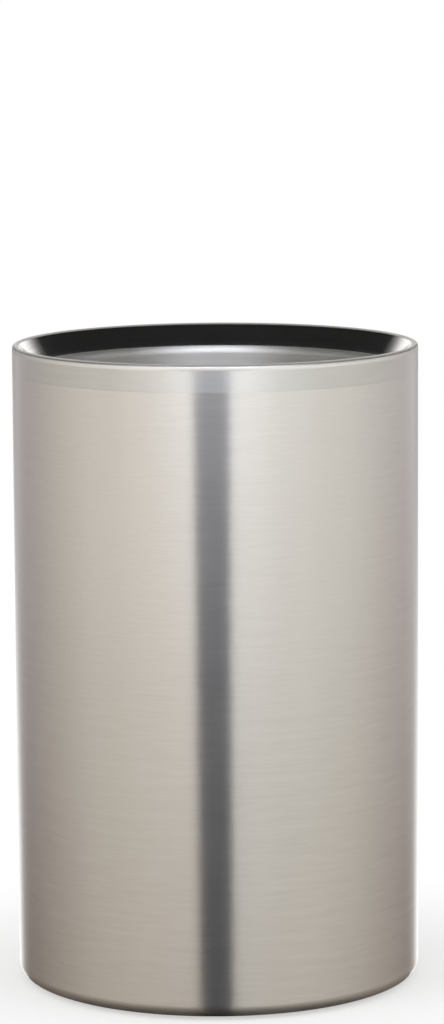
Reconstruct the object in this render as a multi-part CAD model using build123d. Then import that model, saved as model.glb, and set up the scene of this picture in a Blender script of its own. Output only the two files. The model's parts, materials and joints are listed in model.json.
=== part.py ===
"""Double-walled wine cooler: a brushed steel sleeve round a drawn steel liner, with an air gap between them.

The origin is the centre of the face that it stands on, and +Z is up. Every piece is turned about Z.
All sizes are in millimetres.
"""
from build123d import *
from math import cos, radians, sin, tan
import os

# Overall sizes
OUTER_DIAMETER = 125.0
OVERALL_HEIGHT = 198.0
WELL_DIAMETER = 112.0  # bore of the liner, which takes a bottle up to 90 across
WELL_FLOOR = 9.0  # height of the liner's floor, on its wet side

# Sheet steel
SHELL_SHEET = 0.6
LINER_SHEET = 0.5
BASE_SHEET = 0.5

# Rim: the liner flares out to a funnel, rolls over the top and turns down to a weld with the sleeve
RIM_ROLL = 1.0  # outer radius of the roll
WELD_BELOW_TOP = 8.2  # where the turned-down edge meets the sleeve's, in a butt weld that is ground flush
LIP_ANGLE = 31.0  # slope of the funnel, from the vertical
LIP_BLEND = 5.0  # radius between the liner's wall and the funnel

# Lower end
FOOT_STAND_OFF = 0.6  # the foot ring holds the steel this far off the table
SHELL_CORNER = 4.0  # outer radius round the sleeve's lower edge
FLANGE_WIDTH = 8.5  # from the outside to the turned-in flange's inner edge
LINER_CORNER = 6.0  # radius round the liner's floor, on its wet side

# Base plate, sealed on top of the flange
BASE_SEAL = 0.3  # thickness of the sealant under the base plate
BASE_SEAL_INSET = 0.3  # sealant held back from the edges that it lies between
BASE_RIM_CLEARANCE = 0.5  # base plate's edge to where the sleeve's corner starts
PANEL_RISE = 0.8  # raised centre panel of the base plate
PANEL_BEND = 1.0  # radius of both bends at the panel's edge, on the lower face
PANEL_SLOPE = 45.0

# Foot ring, taped under the base plate
TAPE_THICKNESS = 0.2
FOOT_GAP = 3.0  # from the flange's inner edge to the foot ring
FOOT_WIDTH = 12.0
FOOT_TO_PANEL = 6.0  # from the foot ring's inner edge to the raised panel
FOOT_EDGE = 0.5  # radius on the two edges that meet the table
FOOT_GROOVES = 3
GROOVE_WIDTH = 1.2
GROOVE_DEPTH = 0.6

# Soft pieces in the air gap
FOAM_CLEARANCE = 0.05
DAMPER_INSET = 2.0  # from the raised panel's edge to the foam disc on it
BAND_HEIGHT = 12.0  # foam band that centres the liner in the sleeve
BAND_ABOVE_CORNER = 5.0  # from the top of the liner's corner to the band

# Worked out from the sizes above
shell_radius = OUTER_DIAMETER / 2
well_radius = WELL_DIAMETER / 2
lip = radians(LIP_ANGLE)
shell_bottom = FOOT_STAND_OFF
flange_top = shell_bottom + SHELL_SHEET
flange_inner_radius = shell_radius - FLANGE_WIDTH
base_underside = flange_top + BASE_SEAL
base_radius = shell_radius - SHELL_CORNER - BASE_RIM_CLEARANCE
foot_outer_radius = flange_inner_radius - FOOT_GAP
foot_inner_radius = foot_outer_radius - FOOT_WIDTH
foot_top = base_underside - TAPE_THICKNESS
panel_radius = foot_inner_radius - FOOT_TO_PANEL
panel_underside = base_underside + PANEL_RISE
panel_top = panel_underside + BASE_SHEET
liner_underside = WELL_FLOOR - LINER_SHEET
liner_back_radius = well_radius + LINER_SHEET
shell_bore_radius = shell_radius - SHELL_SHEET
rim_weld = OVERALL_HEIGHT - WELD_BELOW_TOP
lip_start = well_radius + LIP_BLEND * (1 - cos(lip))
lip_end = shell_radius - RIM_ROLL * (1 + cos(lip))
lip_run = lip_end - lip_start
lip_length = lip_run / sin(lip)
lip_top = OVERALL_HEIGHT - RIM_ROLL * (1 - sin(lip))
wall_top = lip_top - lip_run / tan(lip) - LIP_BLEND * sin(lip)


def on_section(path):
    """The path, drawn in plan, stood up in the XZ plane: its X is the radius and its Y the height."""
    return Plane.XZ * path


def turned_sheet(path, sheet, side):
    """Sheet metal turned about Z. The path is one of its faces, and the metal is on the given side of it."""
    outline = Wire(path.edges()).offset_2d(sheet, kind=Kind.ARC, side=side, closed=True)
    return revolve(on_section(Face(outline)), Axis.Z)


def turned_ring(inner, outer, low, high, edge=0.0):
    """A plain ring or disc. Edge is the radius on its two lower edges."""
    width = outer - inner
    section = Pos(inner + width / 2, (low + high) / 2) * Rectangle(width, high - low)
    if edge:
        section = fillet(section.vertices().group_by(Axis.Y)[0], edge)
    return revolve(on_section(section), Axis.Z)


def inner_liner():
    """Drawn cup with its funnel lip and turned-down rim, from one sheet. The path is the face that shows."""
    floor = Line((0, WELL_FLOOR), (well_radius - LINER_CORNER, WELL_FLOOR))
    corner = JernArc(floor @ 1, floor % 1, LINER_CORNER, 90)
    wall = Line(corner @ 1, (well_radius, wall_top))
    blend = JernArc(wall @ 1, wall % 1, LIP_BLEND, -LIP_ANGLE)
    funnel = Line(blend @ 1, (blend @ 1) + (blend % 1) * lip_length)
    roll = JernArc(funnel @ 1, funnel % 1, RIM_ROLL, LIP_ANGLE - 180)
    skirt = Line(roll @ 1, (shell_radius, rim_weld))
    path = floor + corner + wall + blend + funnel + roll + skirt
    return turned_sheet(path, LINER_SHEET, Side.RIGHT)


def outer_shell():
    """Brushed sleeve, straight up to the weld, with a turned-in flange below. The path is its outer face."""
    flange = Line((flange_inner_radius, shell_bottom), (shell_radius - SHELL_CORNER, shell_bottom))
    corner = JernArc(flange @ 1, flange % 1, SHELL_CORNER, 90)
    wall = Line(corner @ 1, (shell_radius, rim_weld))
    return turned_sheet(flange + corner + wall, SHELL_SHEET, Side.LEFT)


def base_plate():
    """Pressed disc that closes the sleeve, with a raised centre panel. The path is its lower face."""
    slope_angle = radians(PANEL_SLOPE)
    bends = 2 * PANEL_BEND * (1 - cos(slope_angle))
    panel = Line((0, panel_underside), (panel_radius, panel_underside))
    turn_down = JernArc(panel @ 1, panel % 1, PANEL_BEND, -PANEL_SLOPE)
    fall = (turn_down % 1) * (PANEL_RISE - bends) / sin(slope_angle)
    slope = Line(turn_down @ 1, (turn_down @ 1) + fall)
    turn_out = JernArc(slope @ 1, slope % 1, PANEL_BEND, PANEL_SLOPE)
    rim = Line(turn_out @ 1, (base_radius, base_underside))
    path = panel + turn_down + slope + turn_out + rim
    return turned_sheet(path, BASE_SHEET, Side.LEFT)


def base_sealant():
    """Bead between the flange and the base plate."""
    inner = flange_inner_radius + BASE_SEAL_INSET
    outer = base_radius - BASE_SEAL_INSET
    return turned_ring(inner, outer, flange_top, base_underside)


def foot_tape():
    """Double-sided tape that holds the foot ring under the base plate."""
    return turned_ring(foot_inner_radius, foot_outer_radius, foot_top, base_underside)


def foot_ring():
    """Non-slip ring that the cooler stands on, grooved so that it grips."""
    ring = turned_ring(foot_inner_radius, foot_outer_radius, 0, foot_top, FOOT_EDGE)
    pitch = (foot_outer_radius - foot_inner_radius) / (FOOT_GROOVES + 1)
    for number in range(1, FOOT_GROOVES + 1):
        middle = foot_inner_radius + number * pitch
        ring -= turned_ring(middle - GROOVE_WIDTH / 2, middle + GROOVE_WIDTH / 2, 0, GROOVE_DEPTH)
    return ring


def foam_damper():
    """Disc that the liner's floor rests on, and that keeps it from ringing."""
    return turned_ring(0, panel_radius - DAMPER_INSET, panel_top, liner_underside)


def centring_band():
    """Foam band round the foot of the liner's wall, which keeps the air gap even."""
    low = WELL_FLOOR + LINER_CORNER + BAND_ABOVE_CORNER
    inner = liner_back_radius + FOAM_CLEARANCE
    outer = shell_bore_radius - FOAM_CLEARANCE
    return turned_ring(inner, outer, low, low + BAND_HEIGHT)


PIECES = [
    inner_liner,
    outer_shell,
    base_plate,
    base_sealant,
    foot_tape,
    foot_ring,
    foam_damper,
    centring_band,
]

os.makedirs("parts", exist_ok=True)
for piece in PIECES:
    solid = piece()
    export_step(solid, f"parts/{piece.__name__}.step")
    size = solid.bounding_box().size
    print(f"{piece.__name__}: {size.X:.2f} x {size.Y:.2f} x {size.Z:.2f}, {solid.volume:.0f} mm3")
print(f"straight wall of the well: {WELL_FLOOR + LINER_CORNER:.2f} to {wall_top:.2f}")
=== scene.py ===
# %% [markdown]
# # A double-walled bottle cooler in brushed steel
# The cooler is two steel cups, one inside the other, joined at the rim. The air between them keeps the bottle
# cold and the outside dry. Everything on it is turned about one upright axis, so the whole lesson is about
# one question: how does a turned steel surface catch the light?

# %% Load the fixed frame
import json
import math

import bmesh
import bpy
from mathutils import Matrix, Vector


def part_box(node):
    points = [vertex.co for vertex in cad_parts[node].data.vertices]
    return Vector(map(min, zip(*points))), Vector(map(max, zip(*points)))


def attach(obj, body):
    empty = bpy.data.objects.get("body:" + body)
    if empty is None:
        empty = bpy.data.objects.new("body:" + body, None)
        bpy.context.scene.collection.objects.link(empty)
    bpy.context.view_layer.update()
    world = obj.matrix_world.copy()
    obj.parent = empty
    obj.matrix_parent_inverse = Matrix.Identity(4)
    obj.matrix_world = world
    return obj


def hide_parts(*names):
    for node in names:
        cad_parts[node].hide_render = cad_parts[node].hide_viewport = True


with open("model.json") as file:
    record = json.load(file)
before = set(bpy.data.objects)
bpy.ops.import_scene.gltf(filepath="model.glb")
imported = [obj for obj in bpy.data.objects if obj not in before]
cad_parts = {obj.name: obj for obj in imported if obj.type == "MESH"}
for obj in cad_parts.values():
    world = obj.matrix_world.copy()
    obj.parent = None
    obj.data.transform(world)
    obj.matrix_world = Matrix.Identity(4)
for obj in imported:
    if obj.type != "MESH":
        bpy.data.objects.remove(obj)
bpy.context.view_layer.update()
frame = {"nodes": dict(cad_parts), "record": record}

print("nodes:", sorted(frame["nodes"]))

# %% [markdown]
# ## The camera
# A tall, plain object is best seen through a long lens from just above its rim. A short lens close by would
# make the foot look narrow. A long one keeps the sides nearly upright, and the small height shows the rim as
# a slim ellipse with a glimpse of the well. The camera looks a little to the right of the axis and leans by a
# third of a degree, as a hand-set camera does.

# %% Camera
CAMERA_DISTANCE = 1.3125
CAMERA_HEIGHT = 0.3375
FOCAL_LENGTH = 150.64  # in millimetres, as lens makers give it
SENSOR_WIDTH = 36.0  # in millimetres
FAR_CLIP = 200.0  # past the floor's far edge
LOOK_DOWN = math.radians(8.33)
LOOK_RIGHT = math.radians(0.08)
LEAN = math.radians(0.36)

camera_data = bpy.data.cameras.new("camera")
camera_data.sensor_width = SENSOR_WIDTH
camera_data.lens = FOCAL_LENGTH
camera_data.clip_end = FAR_CLIP
camera = bpy.data.objects.new("camera", camera_data)
bpy.context.scene.collection.objects.link(camera)
camera.matrix_world = (
    Matrix.Translation((0.0, -CAMERA_DISTANCE, CAMERA_HEIGHT))
    @ Matrix.Rotation(-LOOK_RIGHT, 4, "Z")
    @ Matrix.Rotation(math.radians(90.0) - LOOK_DOWN, 4, "X")
    @ Matrix.Rotation(-LEAN, 4, "Z")
)
bpy.context.scene.camera = camera
print("camera at", [round(v, 3) for v in camera.matrix_world.translation])

# %% [markdown]
# ## Sizes
# The frame is the measured object, so every place comes from it: the sleeve's radius, the height of the weld,
# the floor of the well. Copying those numbers would be quicker, but they would go stale when the cooler
# changes. Only what a box can't show is written out, here or where it is first needed, such as the thickness
# of a sheet or the radius of a bend. All sizes are in metres.

# %% Sizes
MM = 0.001
shell_low, shell_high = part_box("outer_shell")
liner_low, liner_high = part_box("inner_liner")
plate_low, plate_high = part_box("base_plate")
foot_low, foot_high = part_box("foot_ring")
well_mount = next(m for m in frame["record"]["mounts"] if m["name"] == "bottle_well")

SHELL_SHEET = 0.6 * MM
LINER_SHEET = 0.5 * MM
BASE_SHEET = 0.5 * MM

shell_radius = shell_high[0]
weld = shell_high[2]
top = liner_high[2]
well_radius = well_mount["dims"]["r_mm"] * MM
well_floor = liner_low[2] + LINER_SHEET
print(f"radius {shell_radius:.4f}, top {top:.4f}, weld {weld:.4f}, well radius {well_radius:.4f}")

# %% [markdown]
# ## A turned section, drawn as a path
# A turned piece is an outline swept round an axis, so each piece starts as a path seen from the side: how far
# out it is, and how high. The path is made of straight runs and round bends, as a toolmaker would draw it. It
# remembers its heading at every point, and that gives the exact surface normal. Normals that are averaged
# from the faces tilt a little beside each bend, and polished metal shows that as a smear.

# %% The path
QUARTER = math.pi / 2
BEND_STEP = math.radians(6.0)
FEWEST_STEPS = 3
ROW = 12 * MM  # the longest row of faces along a straight run


class Path:
    """Points (radius, height, heading, finish), built run by run and bend by bend."""

    def __init__(self, radius, height, heading=0.0, finish=0):
        self.finish = finish
        self.points = [(radius, height, heading, finish)]

    def run(self, length):
        """A straight stretch."""
        r, z, heading, _ = self.points[-1]
        rows = max(1, math.ceil(length / ROW))
        for row in range(1, rows + 1):
            on = length * row / rows
            self.points.append((r + on * math.cos(heading), z + on * math.sin(heading), heading, self.finish))
        return self

    def bend(self, radius, angle):
        """An arc. A positive angle turns to the left."""
        r, z, heading, _ = self.points[-1]
        side = math.copysign(radius, angle)
        centre_r = r - side * math.sin(heading)
        centre_z = z + side * math.cos(heading)
        steps = max(FEWEST_STEPS, math.ceil(abs(angle) / BEND_STEP))
        for step in range(1, steps + 1):
            now = heading + angle * step / steps
            at = (centre_r + side * math.sin(now), centre_z - side * math.cos(now))
            self.points.append((*at, now, self.finish))
        return self


print("steps in a quarter bend:", len(Path(0.0, 0.0).bend(MM, QUARTER).points) - 1)

# %% [markdown]
# ## From one face of a sheet to the whole sheet
# A cup is one sheet of even thickness, so its other face follows the first at that distance. The sheet's cut
# edges are deburred, which leaves a tiny round on each corner. It matters more than its size suggests: every
# real edge catches a thin line of light there, and where two sheets are welded edge to edge it leaves a fine
# line all round. A modifier that thickens a surface would leave those corners sharp, so the whole outline is
# drawn instead.

# %% Close the outline of a sheet
DEBURR = 0.1 * MM
WELD_TRACE = 0.03 * MM  # the weld is ground flush, which leaves far less


def shifted(point, forward, left=0.0):
    """The point moved along its heading and to its left."""
    r, z, heading, finish = point
    cos, sin = math.cos(heading), math.sin(heading)
    return (max(0.0, r + forward * cos - left * sin), z + forward * sin + left * cos, heading, finish)


def turned_back(point):
    """The same point, headed the other way."""
    r, z, heading, finish = point
    return (r, z, heading + math.pi, finish)


def edge_of_sheet(start, sheet, corner):
    """Round the cut edge from one face to the other. A sheet that ends on the axis has no edge there."""
    if not corner:
        return []
    edge = Path(*start)
    return edge.bend(corner, QUARTER).run(sheet - 2 * corner).bend(corner, QUARTER).points


def sheet_outline(path, sheet, first=DEBURR, last=DEBURR):
    """The closed outline of a sheet whose one face is the path, with the metal on the path's left.

    First and last are the corner radii at the path's two ends, or 0 where it meets the axis.
    """
    face = list(path.points)
    back = [turned_back(shifted(point, 0.0, sheet)) for point in reversed(face)]
    face[0], face[-1] = shifted(face[0], first), shifted(face[-1], -last)
    back[0], back[-1] = shifted(back[0], last), shifted(back[-1], -first)
    return face + edge_of_sheet(face[-1], sheet, last) + back + edge_of_sheet(back[-1], sheet, first)


print("points round a cut edge:", len(edge_of_sheet((0.0, 0.0, 0.0, 0), SHELL_SHEET, DEBURR)))

# %% [markdown]
# ## The lathe
# The closed outline is swept round the axis, one ring of points for each point of the outline. A modifier
# could do this too, but made by hand each face also gets its exact normals, its finish, and its place on a
# map that runs round the piece one way and along the metal the other, as brushing does.

# %% Turn an outline into a mesh
SEGMENTS = 256
ON_AXIS = 1e-7  # a point nearer to the axis than this is on it
SAME_POINT = 1e-8  # two points nearer than this are one
DECIMALS = 8


def turned(name, outline):
    """A mesh of revolution from a closed outline, with exact normals, one map, and a finish for each face."""
    pairs = [(a, b) for a, b in zip(outline, outline[1:] + outline[:1])
             if math.dist(a[:2], b[:2]) > SAME_POINT and max(a[0], b[0]) > ON_AXIS]
    length = sum(math.dist(a[:2], b[:2]) for a, b in pairs)
    bm = bmesh.new()
    around = bm.loops.layers.uv.new("OFBake")
    rings = {}

    def ring(point):
        radius, height = point[:2]
        key = (round(radius, DECIMALS), round(height, DECIMALS))
        if key not in rings:
            turns = [0.0] if radius < ON_AXIS else [2 * math.pi * n / SEGMENTS for n in range(SEGMENTS)]
            rings[key] = [bm.verts.new((radius * math.cos(t), radius * math.sin(t), height)) for t in turns]
        return rings[key]

    normals = []
    reached = 0.0
    for start, end in pairs:
        first, second = ring(start), ring(end)
        ends = (reached / length, (reached + math.dist(start[:2], end[:2])) / length)
        reached += math.dist(start[:2], end[:2])
        for n in range(SEGMENTS):
            corners = [(first, n, start, ends[0]), (first, n + 1, start, ends[0]),
                       (second, n + 1, end, ends[1]), (second, n, end, ends[1])]
            if len(first) == 1:
                del corners[1]
            if len(second) == 1:
                del corners[2]
            face = bm.faces.new([points[k % len(points)] for points, k, _, _ in corners])
            face.smooth = True
            face.material_index = end[3]
            for loop, (_, k, (_, _, heading, _), along) in zip(face.loops, corners):
                angle = 2 * math.pi * k / SEGMENTS
                out = math.sin(heading)
                loop[around].uv = (k / SEGMENTS, along)
                normals.append((out * math.cos(angle), out * math.sin(angle), -math.cos(heading)))
    mesh = bpy.data.meshes.new(name)
    bm.to_mesh(mesh)
    bm.free()
    mesh.normals_split_custom_set(normals)
    piece = bpy.data.objects.new(name, mesh)
    bpy.context.scene.collection.objects.link(piece)
    print(f"{name}: {len(mesh.polygons)} faces, {length / MM:.1f} mm round the section")
    return piece


# %% [markdown]
# ## Taking a CAD node's place
# The plain CAD solid stays in the model for contact and weight, and the finer piece is what shows. So each
# turned piece hides its CAD node and rides on the cooler's one body.

# %% Stand in for a node
def stands_for(piece, node):
    """Put a turned piece in the place of its CAD node."""
    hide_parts(node)
    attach(piece, "root")
    print(f"{piece.name} stands for {node}")


# %% [markdown]
# ## The sleeve
# The sleeve is a tube whose lower edge is rolled in to a flange, for the base plate to sit on. A plain
# cylinder would look the same from afar, but its foot would meet the table in a hard line, with no rounded
# corner to darken towards it. The path starts at the flange's inner edge, goes out, round the corner and up
# to the weld.

# %% Sleeve
SHELL_CORNER = 4.0 * MM
FLANGE_WIDTH = 8.5 * MM

sleeve_path = Path(shell_radius - FLANGE_WIDTH, shell_low[2])
sleeve_path.run(FLANGE_WIDTH - SHELL_CORNER)
sleeve_path.bend(SHELL_CORNER, QUARTER)
sleeve_path.run(weld - shell_low[2] - SHELL_CORNER)
sleeve = turned("brushed_sleeve", sheet_outline(sleeve_path, SHELL_SHEET, last=WELD_TRACE))
stands_for(sleeve, "outer_shell")

# %% [markdown]
# ## The liner
# The liner is drawn from one disc of steel. Its rim flares out as a funnel, so that drips run back in, then
# rolls over the top and turns down to the weld. The path runs from the weld up over the roll, down the funnel
# and the wall, and in to the middle of the floor. The rim could be a ring of its own, but then there would be
# a seam where the real one has a single sheet. So the liner is one mesh with four finishes, numbered in the
# order of its slots: brushed outside with the sleeve, rubbed smooth over the roll, polished on the funnel,
# and satin in the well.

# %% Liner
RIM_ROLL = 1.0 * MM
LIP_ANGLE = math.radians(31.0)
LIP_BLEND = 5.0 * MM
LINER_CORNER = 6.0 * MM
BRUSHED, RUBBED, POLISHED, SATIN = range(4)
EASE = math.radians(12.0)  # the polishing wheel eases the edge under the roll by a tenth of a millimetre
EASE_RADIUS = 5.0 * MM

ease_rise = EASE_RADIUS * math.sin(EASE) + RIM_ROLL * (1 - math.sin(EASE))
liner_path = Path(shell_radius, weld, QUARTER, BRUSHED)
liner_path.run(top - ease_rise - weld)
liner_path.finish = RUBBED
liner_path.bend(EASE_RADIUS, EASE)
liner_path.bend(RIM_ROLL, math.pi - LIP_ANGLE - EASE)
liner_path.finish = POLISHED
lip_start = well_radius + LIP_BLEND * (1 - math.cos(LIP_ANGLE))
liner_path.run((liner_path.points[-1][0] - lip_start) / math.sin(LIP_ANGLE))
lip_foot = liner_path.points[-1][1]
liner_path.finish = SATIN
liner_path.bend(LIP_BLEND, LIP_ANGLE)
wall_top = liner_path.points[-1][1]
liner_path.run(wall_top - well_floor - LINER_CORNER)
liner_path.bend(LINER_CORNER, -QUARTER)
liner_path.run(well_radius - LINER_CORNER)
liner = turned("drawn_liner", sheet_outline(liner_path, LINER_SHEET, first=WELD_TRACE, last=0.0))
stands_for(liner, "inner_liner")
print(f"the funnel's foot is at {lip_foot:.4f}, and the straight wall starts at {wall_top:.4f}")

# %% [markdown]
# ## The base plate
# A disc of thin sheet would drum like a tin lid, so its centre is pressed up into a shallow panel. The step
# is under a millimetre high and could be left to a bump in the finish. It is real here, with both its bends,
# because the cooler is picked up and turned over. The path is its lower face, from the middle outwards.

# %% Base plate
PANEL_RISE = 0.8 * MM
PANEL_BEND = 1.0 * MM
PANEL_SLOPE = math.radians(45.0)
FOOT_TO_PANEL = 6.0 * MM
FOOT_WIDTH = 12.0 * MM

foot_radius = foot_high[0]
panel_radius = foot_radius - FOOT_WIDTH - FOOT_TO_PANEL
slope_height = PANEL_RISE - 2 * PANEL_BEND * (1 - math.cos(PANEL_SLOPE))
plate_path = Path(0.0, plate_low[2] + PANEL_RISE)
plate_path.run(panel_radius)
plate_path.bend(PANEL_BEND, -PANEL_SLOPE)
plate_path.run(slope_height / math.sin(PANEL_SLOPE))
plate_path.bend(PANEL_BEND, PANEL_SLOPE)
plate_path.run(plate_high[0] - plate_path.points[-1][0])
plate = turned("pressed_base", sheet_outline(plate_path, BASE_SHEET, first=0.0))
stands_for(plate, "base_plate")

# %% [markdown]
# ## The foot ring
# The ring is moulded rubber with three grooves, which let it grip a wet bar top. They could be cut from a
# plain ring with a boolean, but a mould can't leave a knife edge, and rounding a cut edge afterwards is
# fussy. In a path, each corner is one more small bend. It goes along the underside, in and out of each
# groove, then round the outside and back along the top.

# %% Foot ring
FOOT_EDGE = 0.5 * MM
GROOVES = 3
GROOVE_WIDTH = 1.2 * MM
GROOVE_DEPTH = 0.6 * MM
MOULD_ROUND = 0.15 * MM

pitch = FOOT_WIDTH / (GROOVES + 1)
foot_path = Path(foot_radius - FOOT_WIDTH + FOOT_EDGE, foot_low[2])
for groove in range(1, GROOVES + 1):
    groove_start = foot_radius - FOOT_WIDTH + groove * pitch - GROOVE_WIDTH / 2
    foot_path.run(groove_start - MOULD_ROUND - foot_path.points[-1][0])
    foot_path.bend(MOULD_ROUND, QUARTER).run(GROOVE_DEPTH - 2 * MOULD_ROUND)
    foot_path.bend(MOULD_ROUND, -QUARTER).run(GROOVE_WIDTH - 2 * MOULD_ROUND)
    foot_path.bend(MOULD_ROUND, -QUARTER).run(GROOVE_DEPTH - 2 * MOULD_ROUND)
    foot_path.bend(MOULD_ROUND, QUARTER)
foot_path.run(foot_radius - FOOT_EDGE - foot_path.points[-1][0])
foot_path.bend(FOOT_EDGE, QUARTER).run(foot_high[2] - foot_low[2] - FOOT_EDGE - MOULD_ROUND)
foot_path.bend(MOULD_ROUND, QUARTER).run(FOOT_WIDTH - 2 * MOULD_ROUND)
foot_path.bend(MOULD_ROUND, QUARTER).run(foot_high[2] - foot_low[2] - FOOT_EDGE - MOULD_ROUND)
foot_path.bend(FOOT_EDGE, QUARTER)
foot = turned("grooved_foot", foot_path.points)
stands_for(foot, "foot_ring")

# %% [markdown]
# ## A kit for finishes
# Every finish below is one shader fed by a few patterns, so small helpers keep the recipes short. The first
# starts a material, the second adds a node, and the third feeds the shader its colour, its roughness and its
# relief. A value that is the same all over goes straight on the shader. Only what varies comes from nodes.

# %% Shader helpers
SHADER = "Principled BSDF"


def finish(name, **settings):
    """A new material, with its even values set on the shader itself."""
    material = bpy.data.materials.new(name)
    material.use_nodes = True
    for socket, value in settings.items():
        material.node_tree.nodes[SHADER].inputs[socket.replace("_", " ")].default_value = value
    return material, material.node_tree


def add(tree, kind, inputs=None, **settings):
    """Add a node. An input that is a socket is linked, and any other value is set."""
    made = tree.nodes.new(kind)
    for setting, value in settings.items():
        setattr(made, setting, value)
    for socket, value in (inputs or {}).items():
        if isinstance(value, bpy.types.NodeSocket):
            tree.links.new(value, made.inputs[socket])
        else:
            made.inputs[socket].default_value = value
    return made


def feed(material, colour, roughness, height, depth):
    """Feed the shader. The relief is a height from 0 to 1 times the depth in metres."""
    tree = material.node_tree
    relief = add(tree, "ShaderNodeBump", {"Height": height, "Distance": depth}).outputs["Normal"]
    for socket, value in {"Base Color": colour, "Roughness": roughness, "Normal": relief}.items():
        tree.links.new(value, tree.nodes[SHADER].inputs[socket])
    print(f"{material.name}: {len(tree.nodes)} nodes, relief of {abs(depth) / MM:.4f} mm")


# %% [markdown]
# ## Patterns
# Noise that is squeezed along one direction turns into lines, and that is what brushing is. Noise that
# depends on the distance from the axis alone turns into rings, which is what a tool leaves on a turning disc.
# Both follow the place on the piece and not its map, so that lines are as fine at the floor of the well as on
# the sleeve.

# %% Pattern helpers
def place(tree, scale):
    """Where a point is on the piece, in lengths of 1 / scale along each axis."""
    where = add(tree, "ShaderNodeTexCoord").outputs["Object"]
    return add(tree, "ShaderNodeMapping", {"Vector": where, "Scale": scale}).outputs["Vector"]


def noise(tree, scale, detail=2.0, rough=0.5):
    """Noise from 0 to 1, with so many swings to the metre along X, Y and Z."""
    inputs = {"Vector": place(tree, scale), "Scale": 1.0, "Detail": detail, "Roughness": rough}
    return add(tree, "ShaderNodeTexNoise", inputs).outputs["Fac"]


def ring_noise(tree, scale, detail=2.0):
    """Noise in rings round the Z axis, with so many swings to the metre outwards."""
    flat = place(tree, (scale, scale, 0.0))
    out = add(tree, "ShaderNodeVectorMath", {0: flat}, operation="LENGTH").outputs["Value"]
    inputs = {"W": out, "Scale": 1.0, "Detail": detail}
    return add(tree, "ShaderNodeTexNoise", inputs, noise_dimensions="1D").outputs["Fac"]


def level_between(tree, low, high):
    """0 at the low height and 1 at the high one."""
    height = add(tree, "ShaderNodeSeparateXYZ", {"Vector": place(tree, (1, 1, 1))}).outputs["Z"]
    inputs = {"Value": height, "From Min": low, "From Max": high}
    return add(tree, "ShaderNodeMapRange", inputs).outputs["Result"]


# %% [markdown]
# ## From patterns to values and colours
# A pattern is a number from 0 to 1. These helpers mix two of them, stretch one over a range of roughness, or
# lay a few colours along it.

# %% Value helpers
def calc(tree, operation, *values):
    """One step of arithmetic."""
    return add(tree, "ShaderNodeMath", dict(enumerate(values)), operation=operation).outputs[0]


def between(tree, pattern, low, high):
    """A pattern from 0 to 1 as a value from low to high."""
    return calc(tree, "MULTIPLY_ADD", pattern, high - low, low)


def mixed(tree, first, second, share):
    """Two patterns in one, with this share of the second."""
    return add(tree, "ShaderNodeMix", {"Factor": share, "A": first, "B": second}).outputs["Result"]


def ramp(tree, value, stops, smooth=False):
    """Turn a value into a colour or a level. Stops are (position, colour or level)."""
    node = add(tree, "ShaderNodeValToRGB", {"Fac": value})
    node.color_ramp.interpolation = "EASE" if smooth else "LINEAR"
    elements = node.color_ramp.elements
    while len(elements) < len(stops):
        elements.new(1.0)
    for element, (position, colour) in zip(elements, stops):
        element.position = position
        element.color = (colour,) * 3 + (1.0,) if isinstance(colour, float) else (*colour, 1.0)
    return node.outputs["Color"]


# %% [markdown]
# ## Brushed steel
# An abrasive belt runs round the turning body and leaves fine level lines, each a centimetre or two long.
# Light that strikes them spreads up and down but hardly sideways. Lines in the colour alone would look
# printed, because it is this stretched highlight that says brushed. So the shader is anisotropic: its tangent
# runs round the axis, turned a quarter so that the wide spread is upright. The lines themselves vary the
# colour, the gloss and the height a little, at two sizes, because a belt has coarse grains among its fine
# ones. Each grain also digs a short stroke, a couple of millimetres long, so that no reflection has a
# perfectly straight edge. The rim is brushed again after it is welded, with a fresh belt, so its lines are a
# little deeper and brighter than the sleeve's.

# %% Brushed finish
QUARTER_TURN = 0.25  # the shader counts whole turns
GLOSS_SPREAD = 0.14  # from the smoothest line to the roughest
STROKE_TO_LINE = 10  # a stroke is this many times as deep as a line


def lined_round(name, anisotropy):
    """Steel with lines round the Z axis. Anisotropy, from 0 to 1, is how far they spread light upright."""
    material, tree = finish(name, Metallic=1.0, Anisotropic=anisotropy, Anisotropic_Rotation=QUARTER_TURN)
    tangent = add(tree, "ShaderNodeTangent", direction_type="RADIAL", axis="Z").outputs["Tangent"]
    tree.links.new(tangent, tree.nodes[SHADER].inputs["Tangent"])
    return material, tree


def brushed(name, roughness, dark, light, line_depth):
    """Steel brushed round the axis, with a tone for the lines' valleys and one for their tops."""
    material, tree = lined_round(name, anisotropy=1.0)
    fine_lines = noise(tree, (110, 110, 3200), detail=3.0, rough=0.6)
    coarse_lines = noise(tree, (45, 45, 620))
    lines = mixed(tree, fine_lines, coarse_lines, 0.4)
    strokes = noise(tree, (500, 500, 1200), detail=1.0)
    drift = noise(tree, (9, 9, 14), detail=1.0)

    colour = ramp(tree, mixed(tree, lines, drift, 0.2), [(0.3, dark), (0.7, light)])
    gloss = between(tree, lines, roughness - GLOSS_SPREAD / 2, roughness + GLOSS_SPREAD / 2)
    height = calc(tree, "MULTIPLY_ADD", lines, 1 / STROKE_TO_LINE, strokes)
    feed(material, colour, gloss, height, STROKE_TO_LINE * line_depth)
    return material


SLEEVE_DARK = (0.575, 0.555, 0.525)
SLEEVE_LIGHT = (0.665, 0.645, 0.615)
RIM_DARK = (0.635, 0.625, 0.595)
RIM_LIGHT = (0.705, 0.695, 0.665)
sleeve_steel = brushed("brushed_sleeve_steel", 0.30, SLEEVE_DARK, SLEEVE_LIGHT, line_depth=0.002 * MM)
rim_steel = brushed("brushed_rim_steel", 0.36, RIM_DARK, RIM_LIGHT, line_depth=0.003 * MM)
sleeve.data.materials.append(sleeve_steel)
liner.data.materials.append(rim_steel)

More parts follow.
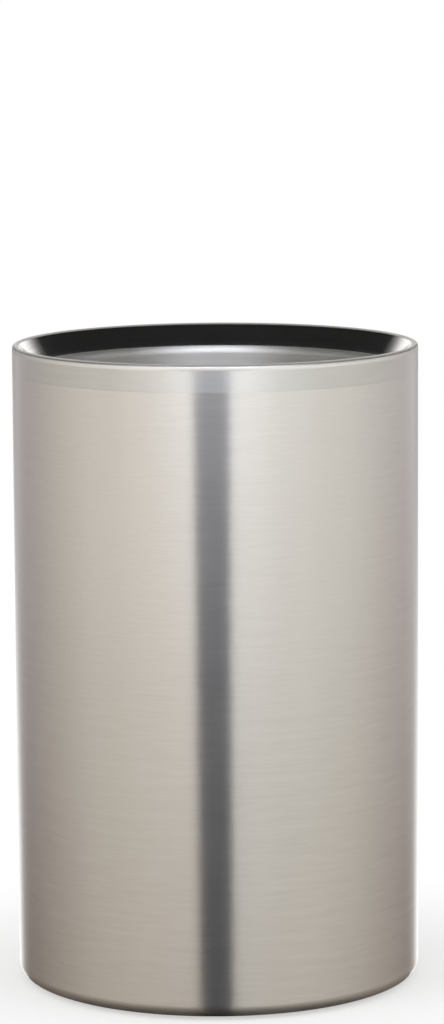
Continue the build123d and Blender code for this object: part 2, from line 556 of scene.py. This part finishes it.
# %% [markdown]
# ## The roll
# Hands and cloths pass over the roll all day, and the polisher goes over it last. It could share the brushed
# finish, but its lines are rubbed nearly away, and without them the light no longer stretches. What is left
# is an even, soft gloss that draws a bright line along the rim.

# %% Rubbed finish
RUBBED_ROUGHNESS = (0.39, 0.49)

roll_steel, tree = finish("rubbed_roll_steel", Metallic=1.0)
rub_lines = noise(tree, (26, 26, 2600), rough=0.6)
handling = noise(tree, (70, 70, 70), detail=3.0)
colour = ramp(tree, rub_lines, [(0.3, (0.54, 0.52, 0.49)), (0.7, (0.60, 0.58, 0.55))])
feed(roll_steel, colour, between(tree, handling, *RUBBED_ROUGHNESS), rub_lines, 0.001 * MM)
liner.data.materials.append(roll_steel)

# %% [markdown]
# ## Polished funnel
# The funnel is buffed bright after it is formed. A roughness of zero would be quicker to write, but it looks
# like chrome plate. Buffed steel isn't a perfect mirror: the wheel leaves faint rings and a few smears, and
# the gloss falls off in the last millimetre above the blend, where the wheel can't reach.

# %% Polished finish
OUT_OF_REACH = 1.0 * MM
BARE_ROUGHNESS = 0.21
BUFFED_ROUGHNESS = 0.09
SMEAR_ROUGHNESS = 0.05

lip_steel, tree = finish("polished_lip_steel", Metallic=1.0)
buffing = noise(tree, (30, 30, 2400))
smears = noise(tree, (60, 60, 90))
reach = level_between(tree, lip_foot, lip_foot + OUT_OF_REACH)
polish = between(tree, reach, BARE_ROUGHNESS, BUFFED_ROUGHNESS)
gloss = calc(tree, "MULTIPLY_ADD", smears, SMEAR_ROUGHNESS, polish)
colour = ramp(tree, buffing, [(0.3, (0.64, 0.63, 0.61)), (0.7, (0.72, 0.71, 0.69))])
feed(lip_steel, colour, gloss, buffing, 0.0006 * MM)
liner.data.materials.append(lip_steel)

# %% [markdown]
# ## Satin well
# Inside, a flap wheel goes round the blend and down the wall, and leaves a satin with faint level lines,
# which spread the light up and down. So the wall under the lip glows softly. On the flat floor, lines that
# follow the height would have nothing to follow: there the same wheel leaves rings, which follow the distance
# from the axis. The two patterns change over at the rounded corner of the floor.

# %% Satin finish
SATIN_ROUGHNESS = (0.38, 0.46)

well_steel, tree = lined_round("satin_well_steel", anisotropy=0.6)
level_lines = noise(tree, (30, 30, 1500), rough=0.6)
on_wall = level_between(tree, well_floor, well_floor + LINER_CORNER)
marks = mixed(tree, ring_noise(tree, 1400), level_lines, on_wall)
stains = noise(tree, (25, 25, 18), detail=3.0)
tone = mixed(tree, marks, stains, 0.5)
colour = ramp(tree, tone, [(0.35, (0.63, 0.615, 0.585)), (0.65, (0.71, 0.70, 0.675))])
feed(well_steel, colour, between(tree, marks, *SATIN_ROUGHNESS), marks, 0.0015 * MM)
liner.data.materials.append(well_steel)

# %% [markdown]
# ## Mill finish under the base
# Nobody polishes the underside. Cold-rolled sheet is dull and even, with a faint grain one way from the
# rolls, a few scuffs from stacking, and rings where the press tool turned in it. One grey would do for a face
# that is seldom seen, but these three marks tell the cheap side of a sheet from its finished side.

# %% Mill finish
MILL_ROUGHNESS = (0.28, 0.46)

base_steel, tree = finish("mill_base_steel", Metallic=1.0)
roll_grain = noise(tree, (40, 2600, 40), rough=0.6)
marks = mixed(tree, roll_grain, ring_noise(tree, 900), 0.45)
scuffs = noise(tree, (90, 90, 90), detail=4.0, rough=0.6)
colour = ramp(tree, marks, [(0.3, (0.53, 0.52, 0.50)), (0.7, (0.66, 0.65, 0.63))])
feed(base_steel, colour, between(tree, scuffs, *MILL_ROUGHNESS), marks, 0.003 * MM)
plate.data.materials.append(base_steel)

# %% [markdown]
# ## Rubber foot
# Moulded rubber is nearly black, with a fine grain from the mould, and it picks up grey dust on the faces
# that touch the table. The dust could be painted where it lies. Here it follows the height, so it stays on
# the right faces if the ring changes.

# %% Rubber
DUST_RISES = 0.3 * MM  # above the table
RUBBER_ROUGHNESS = (0.62, 0.82)

rubber, tree = finish("black_foot_rubber", Specular_IOR_Level=0.4)
grain = noise(tree, (1800, 1800, 1800), detail=3.0, rough=0.6)
dust = noise(tree, (120, 120, 120), detail=3.0, rough=0.6)
dusty = calc(tree, "MULTIPLY", level_between(tree, DUST_RISES, 0.0), dust)
tone = mixed(tree, grain, dusty, 0.6)
colour = ramp(tree, tone, [(0.15, (0.026, 0.026, 0.028)), (0.6, (0.085, 0.083, 0.080))])
feed(rubber, colour, between(tree, dust, *RUBBER_ROUGHNESS), grain, 0.03 * MM)
foot.data.materials.append(rubber)

# %% [markdown]
# ## Foam, tape and sealant
# These pieces lie between the walls or under the base, and their CAD shapes are right as they are. They could
# keep one flat colour each, because nobody sees them. They get their real finish all the same, for whoever
# takes the cooler apart: closed cells in the foam, a paper-like mottle on the tape, and a cloudy, slightly
# uneven bead of silicone.

# %% Hidden pieces
foam, tree = finish("charcoal_foam", Specular_IOR_Level=0.25)
inputs = {"Vector": place(tree, (900, 900, 900)), "Scale": 1.0}
cells = add(tree, "ShaderNodeTexVoronoi", inputs).outputs["Distance"]
colour = ramp(tree, cells, [(0.0, (0.26, 0.26, 0.27)), (0.7, (0.13, 0.13, 0.14))], smooth=True)
feed(foam, colour, between(tree, cells, 0.85, 0.95), cells, -0.15 * MM)

tape, tree = finish("double_sided_tape", Specular_IOR_Level=0.4)
mottle = noise(tree, (300, 300, 300), detail=4.0, rough=0.6)
colour = ramp(tree, mottle, [(0.3, (0.80, 0.80, 0.78)), (0.7, (0.88, 0.88, 0.86))], smooth=True)
feed(tape, colour, between(tree, mottle, 0.45, 0.60), mottle, 0.01 * MM)

sealant, tree = finish("silicone_bead", Specular_IOR_Level=0.5)
waves = noise(tree, (130, 130, 500), detail=3.0)
colour = ramp(tree, waves, [(0.3, (0.64, 0.64, 0.62)), (0.7, (0.76, 0.76, 0.74))], smooth=True)
feed(sealant, colour, between(tree, waves, 0.26, 0.38), waves, 0.05 * MM)

hidden = {"foam_damper": foam, "centring_band": foam, "foot_tape": tape, "base_sealant": sealant}
for node, material in hidden.items():
    for slot in bpy.data.objects[node].material_slots:
        slot.material = material
    print(f"{node} wears {material.name}")

# %% [markdown]
# ## Floor
# The floor is a wide pale disc. A studio hides its horizon with a sheet that curves up at the back. A disc
# that turns white does the same from every side, with no shape to place. The disc is hidden from reflections:
# steel this close to a white floor would go flat, and a studio would lay a dark sheet under it.

# %% Floor
FLOOR_RADIUS = 40.0
FLOOR_SIDES = 96
FLOOR_BELOW_FOOT = 0.02 * MM

bm = bmesh.new()
bmesh.ops.create_circle(bm, cap_ends=True, radius=FLOOR_RADIUS, segments=FLOOR_SIDES)
floor_mesh = bpy.data.meshes.new("floor")
bm.to_mesh(floor_mesh)
bm.free()
floor = bpy.data.objects.new("floor", floor_mesh)
bpy.context.scene.collection.objects.link(floor)
floor.location.z = foot_low[2] - FLOOR_BELOW_FOOT
floor.visible_glossy = False
print(f"{floor.name}: {FLOOR_RADIUS:.0f} m in radius, at {floor.location.z / MM:.2f} mm")

# %% [markdown]
# ## The floor's paper
# The paper is plain and matt. Its white is a second shader, a glow of strength 1, which only the camera sees.
# At the cooler's foot it is about half of what the camera sees, so the paper's light and shadow show through.
# Over the next few centimetres its share grows until the floor is plain white. Stronger lamps could whiten
# the floor too, but they would light the foot ring as well.

# %% Floor paper
FLOOR_COLOUR = (0.96, 0.96, 0.96, 1.0)
WHITE = (1.0, 1.0, 1.0, 1.0)
FADE_FROM, FADE_TO = 0.064, 0.15  # distances from the axis
WHITE_AT_FOOT = 0.52

paper, tree = finish("pale_floor", Roughness=0.9, Base_Color=FLOOR_COLOUR, Specular_IOR_Level=0.0)
where = add(tree, "ShaderNodeTexCoord").outputs["Object"]
away = add(tree, "ShaderNodeVectorMath", {0: where}, operation="LENGTH").outputs["Value"]
limits = {"Value": away, "From Min": FADE_FROM, "From Max": FADE_TO, "To Min": WHITE_AT_FOOT}
fade = add(tree, "ShaderNodeMapRange", limits, interpolation_type="SMOOTHSTEP").outputs["Result"]
seen = add(tree, "ShaderNodeLightPath").outputs["Is Camera Ray"]
glow = add(tree, "ShaderNodeEmission", {"Color": WHITE, "Strength": 1.0}).outputs["Emission"]
share = calc(tree, "MULTIPLY", fade, seen)
matt = tree.nodes[SHADER].outputs["BSDF"]
blend = add(tree, "ShaderNodeMixShader", {0: share, 1: matt, 2: glow}).outputs["Shader"]
tree.links.new(blend, tree.nodes["Material Output"].inputs["Surface"])
floor_mesh.materials.append(paper)
print(f"{paper.name}: {WHITE_AT_FOOT:.0%} white at the foot, all white {FADE_TO} m from the axis")

# %% [markdown]
# ## Softboxes round the steel
# Bare steel has hardly any colour of its own: it shows what stands round it. So each light or dark zone on
# the cooler is a panel in the studio, or a gap between two panels:
#
# - Two tall curved softboxes stand either side of the cooler, with a narrow gap straight in front, where the
#   camera stands. The gap draws the dark stripe down the middle of the steel.
# - An edge light behind each side draws a thin pale line down the cooler's outline.
# - A rim light stands above each edge light, and the two ends of the funnel's ellipse mirror it.
# - A strip high in front draws the bright line along the roll.
#
# An area lamp is one even rectangle. These panels are made as meshes instead, because a mesh can be curved
# round the cooler, and its light can dim along it. Each is a strip of faces on an arc.

# %% A curved panel
PANEL_STEPS = 48


def curved_panel(name, near, far, distance, heights, fall):
    """A strip round the axis, with a map that goes from 0 to 1 along it and up it.

    It goes from azimuth near, in degrees at the bottom and the top, to azimuth far. Azimuth 0 is straight in
    front and grows to the right. Its top is lower by fall at the far end.
    """
    low, high = heights
    bm = bmesh.new()
    uv = bm.loops.layers.uv.new("panel")
    columns = []
    for step in range(PANEL_STEPS + 1):
        across = step / PANEL_STEPS
        column = []
        for start, height in zip(near, (low, high - fall * across)):
            azimuth = math.radians(start + (far - start) * across)
            vert = bm.verts.new((distance * math.sin(azimuth), -distance * math.cos(azimuth), height))
            column.append((vert, (across, (height - low) / (high - low))))
        columns.append(column)
    for here, there in zip(columns, columns[1:]):
        corners = (here[0], there[0], there[1], here[1])
        face = bm.faces.new([vert for vert, _ in corners])
        for loop, (_, place_on_panel) in zip(face.loops, corners):
            loop[uv].uv = place_on_panel
    mesh = bpy.data.meshes.new(name)
    bm.to_mesh(mesh)
    bm.free()
    panel = bpy.data.objects.new(name, mesh)
    bpy.context.scene.collection.objects.link(panel)
    return panel


# %% [markdown]
# ## The light on a panel
# The panel's glow is its strength times two ramps, one along it and one up it. Only steel sees it: it is
# hidden from the camera and from matt surfaces, and it casts no shadow.

# %% A softbox
def softbox(name, near, far, distance, heights, strength, along, upwards=None, fall=0.0):
    """A curved panel that glows for steel alone.

    Along is a ramp of its light over its length, from 0 to 1. Upwards is one by height in metres, and without
    it the light is even from the bottom to the top.
    """
    panel = curved_panel(name, near, far, distance, heights, fall)
    panel.visible_camera = panel.visible_diffuse = panel.visible_shadow = False

    material = bpy.data.materials.new(name)
    material.use_nodes = True
    material.cycles.emission_sampling = "NONE"
    tree = material.node_tree
    tree.nodes.clear()
    low, high = heights
    upwards = upwards or ((low, 1.0), (high, 1.0))
    levels = [((height - low) / (high - low), level) for height, level in upwards]
    on_map = add(tree, "ShaderNodeTexCoord").outputs["UV"]
    where = add(tree, "ShaderNodeSeparateXYZ", {"Vector": on_map}).outputs
    both = {0: ramp(tree, where["X"], along), 1: ramp(tree, where["Y"], levels)}
    light = add(tree, "ShaderNodeVectorMath", both, operation="MULTIPLY").outputs["Vector"]
    glow = add(tree, "ShaderNodeEmission", {"Color": light, "Strength": strength}).outputs["Emission"]
    add(tree, "ShaderNodeOutputMaterial", {"Surface": glow})
    panel.data.materials.append(material)
    print(f"{name}: {near} to {far} degrees, {distance} m from the axis")


# %% [markdown]
# ## The two tall softboxes
# Each is brightest a little way round from the gap. It dims towards the back, where it turns faintly pink,
# and its light is weaker and warmer towards the floor. They reach below the floor, which steel doesn't see:
# brushed lines spread light up and down, so the foot of the sleeve gathers it from below as well as from
# above. The left one's front edge leans, as a softbox on a stand often does.

# %% Side softboxes
RIGHT_NEAR, RIGHT_FAR = (8.3, 7.1), 152.0
LEFT_NEAR, LEFT_FAR = (-6.5, -12.7), -152.0
SIDE_DISTANCE = 0.50
SIDE_HEIGHTS = (-0.50, 0.35)
SIDE_FALL = 0.08
SIDE_STRENGTH = 2.46
SIDE_UPWARDS = [
    (-0.50, (0.079, 0.066, 0.050)),
    (-0.25, (0.178, 0.149, 0.118)),
    (-0.10, (0.299, 0.264, 0.228)),
    (-0.02, (0.409, 0.393, 0.365)),
    (0.10, (0.564, 0.560, 0.539)),
    (0.30, (0.905, 0.910, 0.892)),
    (0.35, (0.905, 0.910, 0.892)),
]


def tinted(level, warmth, blush=0.0):
    """A level as a colour. Warmth is towards amber, or below 0 towards blue, and blush is towards pink."""
    return (level * (1 + warmth + blush), level, level * (1 - warmth + blush))


RIGHT_ALONG = [
    (0.0, tinted(0.845, -0.01)),
    (0.045, tinted(0.865, -0.01)),
    (0.12, tinted(0.93, -0.01)),
    (0.29, tinted(0.95, -0.01)),
    (0.465, tinted(0.83, 0.0)),
    (0.68, tinted(0.595, 0.01, 0.02)),
    (0.83, tinted(0.46, 0.01, 0.045)),
    (1.0, tinted(0.45, 0.0, 0.045)),
]
LEFT_ALONG = [
    (0.0, tinted(0.83, 0.015)),
    (0.07, tinted(0.845, 0.02)),
    (0.15, tinted(0.88, 0.02)),
    (0.24, tinted(0.875, 0.02)),
    (0.415, tinted(0.785, 0.02)),
    (0.63, tinted(0.55, 0.03, 0.01)),
    (0.77, tinted(0.41, 0.02, 0.04)),
    (0.865, tinted(0.36, 0.01, 0.055)),
    (1.0, tinted(0.41, 0.0, 0.05)),
]
for name, near, far, along in (("right_softbox", RIGHT_NEAR, RIGHT_FAR, RIGHT_ALONG),
                               ("left_softbox", LEFT_NEAR, LEFT_FAR, LEFT_ALONG)):
    softbox(name, near, far, SIDE_DISTANCE, SIDE_HEIGHTS, SIDE_STRENGTH, along,
            upwards=SIDE_UPWARDS, fall=SIDE_FALL)

# %% [markdown]
# ## Edge lights and rim lights
# Both sides are alike, so one loop makes them. An edge light takes over where the tall softbox ends, and
# stands a centimetre nearer to the cooler. It could be the end of the same softbox, but then one could not be
# dimmed without the other. The rim light above it comes up gradually along its length, so that the dark band
# round the back of the funnel has soft ends.

# %% Lights behind the cooler
EDGE_NEAR, EDGE_FAR = (145.0, 152.0), 173.0
EDGE_DISTANCE = 0.49
EDGE_HEIGHTS = (-0.18, 0.22)
EDGE_STRENGTH = 2.0
EDGE_ALONG = [(0.0, 0.45), (0.5, 1.0), (1.0, 1.0)]
EDGE_UPWARDS = [(-0.18, 1.0), (-0.09, 1.0), (0.09, 0.39), (0.22, 0.39)]
RIM_NEAR, RIM_FAR = (161.0, 143.0), 180.0
RIM_DISTANCE = 0.48
RIM_HEIGHTS = (0.205, 0.365)
RIM_STRENGTH = 1.50
RIM_ALONG = [(0.0, 0.0), (0.12, 0.15), (0.30, 0.85), (0.5, 1.0), (1.0, 1.0)]
RIM_UPWARDS = [(0.205, 1.0), (0.28, 0.9), (0.35, 0.6)]

for side, name in ((1, "right"), (-1, "left")):
    near = tuple(side * azimuth for azimuth in EDGE_NEAR)
    softbox(f"{name}_edge_light", near, side * EDGE_FAR, EDGE_DISTANCE, EDGE_HEIGHTS, EDGE_STRENGTH,
            EDGE_ALONG, upwards=EDGE_UPWARDS)
    near = tuple(side * azimuth for azimuth in RIM_NEAR)
    softbox(f"{name}_rim_light", near, side * RIM_FAR, RIM_DISTANCE, RIM_HEIGHTS, RIM_STRENGTH,
            RIM_ALONG, upwards=RIM_UPWARDS)

# %% [markdown]
# ## The light for the roll
# The roll is so small and so curved that whatever it shows shrinks to a line. The line could be a bright ring
# on the steel, but then it would shine from behind as well. A strong, slightly blue strip high in front draws
# it, and only from there. The strip fades out at both ends, and so does the line.

# %% Front softbox
FRONT_FAR = 60.0  # degrees to each side
FRONT_DISTANCE = 0.36
FRONT_HEIGHTS = (0.30, 0.50)
FRONT_STRENGTH = 4.7
FRONT_TINT = (0.97, 1.0, 1.12)
FRONT_LEVELS = [(0.0, 0.0), (0.2, 0.25), (0.38, 0.8), (0.5, 0.89), (0.62, 0.8), (0.8, 0.25), (1.0, 0.0)]

front_along = [(at, tuple(level * tint for tint in FRONT_TINT)) for at, level in FRONT_LEVELS]
softbox("front_softbox", (-FRONT_FAR, -FRONT_FAR), FRONT_FAR, FRONT_DISTANCE, FRONT_HEIGHTS, FRONT_STRENGTH,
        front_along)

# %% [markdown]
# ## The room in the metal
# Walls and a ceiling could be built for the steel to mirror. The world is simpler, because it can show each
# kind of ray something else. The camera sees plain white, and matt surfaces get an even grey light. Steel
# sees a dark room with a pale ceiling, a round patch of the sky that is centred high up and to the back. Its
# edge is set so that the crest of the rim catches it all the way round, while the far side of the funnel
# mirrors the dark room in front.

# %% World
EVEN_LIGHT = 0.80
CEILING_LIGHT = 0.75
DARK_ROOM = 0.020
CEILING_CENTRE = (0.0, 0.6, 0.8)
CEILING_ENDS, CEILING_FULL = 0.69, 0.79  # cosines of the angle from the ceiling's centre

world = bpy.data.worlds.new("studio")
bpy.context.scene.world = world
world.use_nodes = True
world.cycles.sampling_method = "NONE"
tree = world.node_tree
tree.nodes.clear()
looking = add(tree, "ShaderNodeTexCoord").outputs["Generated"]
both = {0: looking, 1: CEILING_CENTRE}
toward = add(tree, "ShaderNodeVectorMath", both, operation="DOT_PRODUCT").outputs["Value"]
limits = {"Value": toward, "From Min": CEILING_ENDS, "From Max": CEILING_FULL}
overhead = add(tree, "ShaderNodeMapRange", limits, interpolation_type="SMOOTHSTEP").outputs["Result"]
for_steel = calc(tree, "MULTIPLY_ADD", overhead, CEILING_LIGHT, DARK_ROOM)
ray = add(tree, "ShaderNodeLightPath").outputs
for_surfaces = mixed(tree, EVEN_LIGHT, for_steel, ray["Is Glossy Ray"])
strength = mixed(tree, for_surfaces, 1.0, ray["Is Camera Ray"])
sky = add(tree, "ShaderNodeBackground", {"Color": WHITE, "Strength": strength}).outputs["Background"]
add(tree, "ShaderNodeOutputWorld", {"Surface": sky})
print(f"{world.name}: {EVEN_LIGHT} on matt surfaces, {DARK_ROOM} to {DARK_ROOM + CEILING_LIGHT:.2f} in steel")

# %% [markdown]
# ## Lamps
# Steel is lit by what it reflects, so the lamps are there for matt surfaces alone. The world's even light
# would do for those, but it comes from everywhere and leaves the cooler floating. Two lamps give the foot and
# the floor a shadow with a direction. They are wide squares, because a point lamp draws a hard edge.

# %% Area lamps
LAMP_SIZE = 1.0


def softlight(name, at, power):
    """A square area lamp that faces the cooler, and that steel doesn't show."""
    data = bpy.data.lights.new(name, "AREA")
    data.size = LAMP_SIZE
    data.energy = power
    lamp = bpy.data.objects.new(name, data)
    bpy.context.scene.collection.objects.link(lamp)
    lamp.location = at
    lamp.rotation_euler = (Vector((0.0, 0.0, top / 2)) - Vector(at)).to_track_quat("-Z", "Y").to_euler()
    lamp.visible_glossy = False
    print(f"{name}: {power} W at {at}")


softlight("left_key", at=(-1.3, -0.9, 1.5), power=8.0)
softlight("right_fill", at=(1.4, -0.5, 1.2), power=4.0)

# %% [markdown]
# ## View settings
# The view settings stay plain, so that colours come out as they are written.

# %% Finish
bpy.context.scene.view_settings.view_transform = "Standard"
